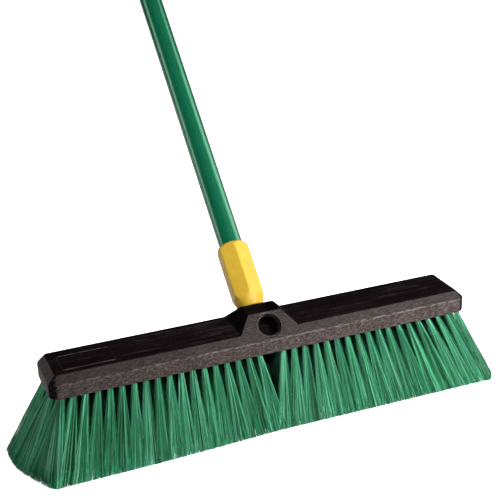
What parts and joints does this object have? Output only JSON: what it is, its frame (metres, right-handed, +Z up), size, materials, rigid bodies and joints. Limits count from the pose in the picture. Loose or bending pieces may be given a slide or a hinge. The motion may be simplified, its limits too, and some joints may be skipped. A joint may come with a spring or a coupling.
{
  "type": "push broom",
  "caption": "Straight push broom: long bevelled block with twin threaded sockets, staggered rows of flared bristles, and a leaning tube handle that screws in.",
  "frame": {"origin": "centre of the bristle footprint, on the floor plane the bristle tips stand on", "axes": "+X along the block, +Y to the side the handle leans to, +Z up; the empty front socket faces -Y"},
  "size_m": [0.5392, 1.1686, 1.1556],
  "materials": {
    "block": "matte",
    "bristle": "satin",
    "tube": "gloss",
    "collar": "satin",
    "stem": "satin",
    "core": "satin",
    "cap": "satin"
  },
  "bodies": {
    "head": {"brush_block": "block", "bristles_row1_a": "bristle", "bristles_row1_b": "bristle", "bristles_row1_c": "bristle", "bristles_row1_d": "bristle", "bristles_row1_e": "bristle", "bristles_row1_f": "bristle", "bristles_row2_a": "bristle", "bristles_row2_b": "bristle", "bristles_row2_c": "bristle", "bristles_row2_d": "bristle", "bristles_row2_e": "bristle", "bristles_row2_f": "bristle", "bristles_row3_a": "bristle", "bristles_row3_b": "bristle", "bristles_row3_c": "bristle", "bristles_row3_d": "bristle", "bristles_row3_e": "bristle", "bristles_row3_f": "bristle", "bristles_row4_a": "bristle", "bristles_row4_b": "bristle", "bristles_row4_c": "bristle", "bristles_row4_d": "bristle", "bristles_row4_e": "bristle", "bristles_row4_f": "bristle", "bristles_row5_a": "bristle", "bristles_row5_b": "bristle", "bristles_row5_c": "bristle", "bristles_row5_d": "bristle", "bristles_row5_e": "bristle", "bristles_row5_f": "bristle"},
    "screw_lead": {"stem_core": "core"},
    "handle": {"threaded_stem": "stem", "hex_collar": "collar", "handle_tube": "tube", "hanger_cap": "cap"}
  },
  "joints": [
    {"name": "handle_lift", "type": "slide", "parent": "head", "child": "screw_lead", "axis": [0, 0.7279, 0.6857], "range_m": [0, 0.014]},
    {"name": "handle_turn", "type": "hinge", "parent": "screw_lead", "child": "handle", "pos_m": [-0.001, 0.0212, 0.11463], "axis": [0, 0.7279, 0.6857], "range_deg": [0, 992.5]}
  ],
  "couplings": [
    {"joint": "handle_turn", "follows": "handle_lift", "rad_per_m": 1236.8}
  ]
}
